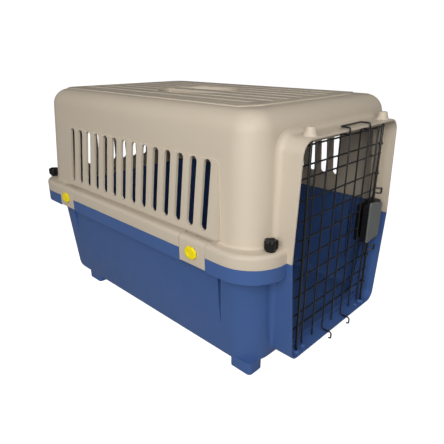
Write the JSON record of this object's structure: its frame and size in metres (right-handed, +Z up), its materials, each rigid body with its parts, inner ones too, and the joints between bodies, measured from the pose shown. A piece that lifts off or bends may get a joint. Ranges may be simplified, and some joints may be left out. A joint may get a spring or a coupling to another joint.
{
  "type": "pet transport carrier",
  "caption": "Two-part moulded pet carrier with side and rear vents, a wire grille door with a sprung double-rod latch, clamp knobs, quarter-turn clips and a recessed roof grip.",
  "frame": {"origin": "on the ground under the middle of the carrier's bounding box", "axes": "+Z up, -Y out of the door, +Y towards the closed rear wall, +X towards the latch side of the door"},
  "size_m": [0.4262, 0.6094, 0.3897],
  "materials": {
    "blue_plastic": "moulded polypropylene, fine grain, satin",
    "beige_plastic": "moulded polypropylene, fine grain, satin",
    "black_plastic": "moulded nylon, satin",
    "grey_plastic": "moulded cover, smooth satin",
    "yellow_plastic": "moulded acetal, semi-gloss",
    "black_coated_wire": "black coated steel wire, semi-gloss",
    "zinc_steel": "zinc plated",
    "spring_steel": "bright drawn wire"
  },
  "bodies": {
    "base": {"lower_shell": "blue_plastic", "nut_front_left": "zinc_steel", "nut_front_right": "zinc_steel", "nut_rear_left": "zinc_steel", "nut_rear_right": "zinc_steel"},
    "lid": {"upper_shell": "beige_plastic"},
    "knob_front_left": {"knob_front_left": "black_plastic", "stud_front_left": "zinc_steel"},
    "knob_front_right": {"knob_front_right": "black_plastic", "stud_front_right": "zinc_steel"},
    "knob_rear_left": {"knob_rear_left": "black_plastic", "stud_rear_left": "zinc_steel"},
    "knob_rear_right": {"knob_rear_right": "black_plastic", "stud_rear_right": "zinc_steel"},
    "clip_front_left": {"clip_front_left": "beige_plastic"},
    "button_front_left": {"button_front_left": "yellow_plastic"},
    "clip_front_right": {"clip_front_right": "beige_plastic"},
    "button_front_right": {"button_front_right": "yellow_plastic"},
    "clip_rear_left": {"clip_rear_left": "beige_plastic"},
    "button_rear_left": {"button_rear_left": "yellow_plastic"},
    "clip_rear_right": {"clip_rear_right": "beige_plastic"},
    "button_rear_right": {"button_rear_right": "yellow_plastic"},
    "door": {"door_grille": "black_coated_wire", "door_hinge_rod": "black_coated_wire", "door_stay_wire": "black_coated_wire", "latch_housing": "black_plastic", "latch_cover": "grey_plastic"},
    "latch_upper": {"latch_upper_rod": "black_coated_wire", "latch_upper_spring": "spring_steel"},
    "latch_lower": {"latch_lower_rod": "black_coated_wire", "latch_lower_spring": "spring_steel"}
  },
  "joints": [
    {"name": "lid_lift", "type": "slide", "parent": "base", "child": "lid", "axis": [0, 0, 1], "range_m": [0, 0.22]},
    {"name": "knob_turn_front_left", "type": "hinge", "parent": "lid", "child": "knob_front_left", "pos_m": [-0.163, -0.2743, 0.211], "axis": [0, 0, 1], "continuous": true},
    {"name": "knob_turn_front_right", "type": "hinge", "parent": "lid", "child": "knob_front_right", "pos_m": [0.163, -0.2743, 0.211], "axis": [0, 0, 1], "continuous": true},
    {"name": "knob_turn_rear_left", "type": "hinge", "parent": "lid", "child": "knob_rear_left", "pos_m": [-0.183, 0.2887, 0.211], "axis": [0, 0, 1], "continuous": true},
    {"name": "knob_turn_rear_right", "type": "hinge", "parent": "lid", "child": "knob_rear_right", "pos_m": [0.183, 0.2887, 0.211], "axis": [0, 0, 1], "continuous": true},
    {"name": "clip_swing_front_left", "type": "hinge", "parent": "lid", "child": "clip_front_left", "pos_m": [-0.1956, -0.1698, 0.2077], "axis": [0, 1, 0], "range_deg": [0, 50]},
    {"name": "button_turn_front_left", "type": "hinge", "parent": "clip_front_left", "child": "button_front_left", "pos_m": [-0.2092, -0.1698, 0.19], "axis": [-1, 0, 0], "range_deg": [0, 90]},
    {"name": "clip_swing_front_right", "type": "hinge", "parent": "lid", "child": "clip_front_right", "pos_m": [0.1956, -0.1698, 0.2077], "axis": [0, -1, 0], "range_deg": [0, 50]},
    {"name": "button_turn_front_right", "type": "hinge", "parent": "clip_front_right", "child": "button_front_right", "pos_m": [0.2092, -0.1698, 0.19], "axis": [1, 0, 0], "range_deg": [0, 90]},
    {"name": "clip_swing_rear_left", "type": "hinge", "parent": "lid", "child": "clip_rear_left", "pos_m": [-0.1956, 0.1917, 0.2077], "axis": [0, 1, 0], "range_deg": [0, 50]},
    {"name": "button_turn_rear_left", "type": "hinge", "parent": "clip_rear_left", "child": "button_rear_left", "pos_m": [-0.2092, 0.1917, 0.19], "axis": [-1, 0, 0], "range_deg": [0, 90]},
    {"name": "clip_swing_rear_right", "type": "hinge", "parent": "lid", "child": "clip_rear_right", "pos_m": [0.1956, 0.1917, 0.2077], "axis": [0, -1, 0], "range_deg": [0, 50]},
    {"name": "button_turn_rear_right", "type": "hinge", "parent": "clip_rear_right", "child": "button_rear_right", "pos_m": [0.2092, 0.1917, 0.19], "axis": [1, 0, 0], "range_deg": [0, 90]},
    {"name": "door_swing", "type": "hinge", "parent": "base", "child": "door", "pos_m": [-0.104, -0.2865, 0.19], "axis": [0, 0, -1], "range_deg": [0, 150]},
    {"name": "latch_upper_slide", "type": "slide", "parent": "door", "child": "latch_upper", "axis": [0, 0, -1], "range_m": [0, 0.01], "stiffness_N_per_m": 150, "springref_m": -0.006, "deforming": ["latch_upper_spring"]},
    {"name": "latch_lower_slide", "type": "slide", "parent": "door", "child": "latch_lower", "axis": [0, 0, 1], "range_m": [0, 0.01], "stiffness_N_per_m": 150, "springref_m": -0.006, "deforming": ["latch_lower_spring"]}
  ]
}
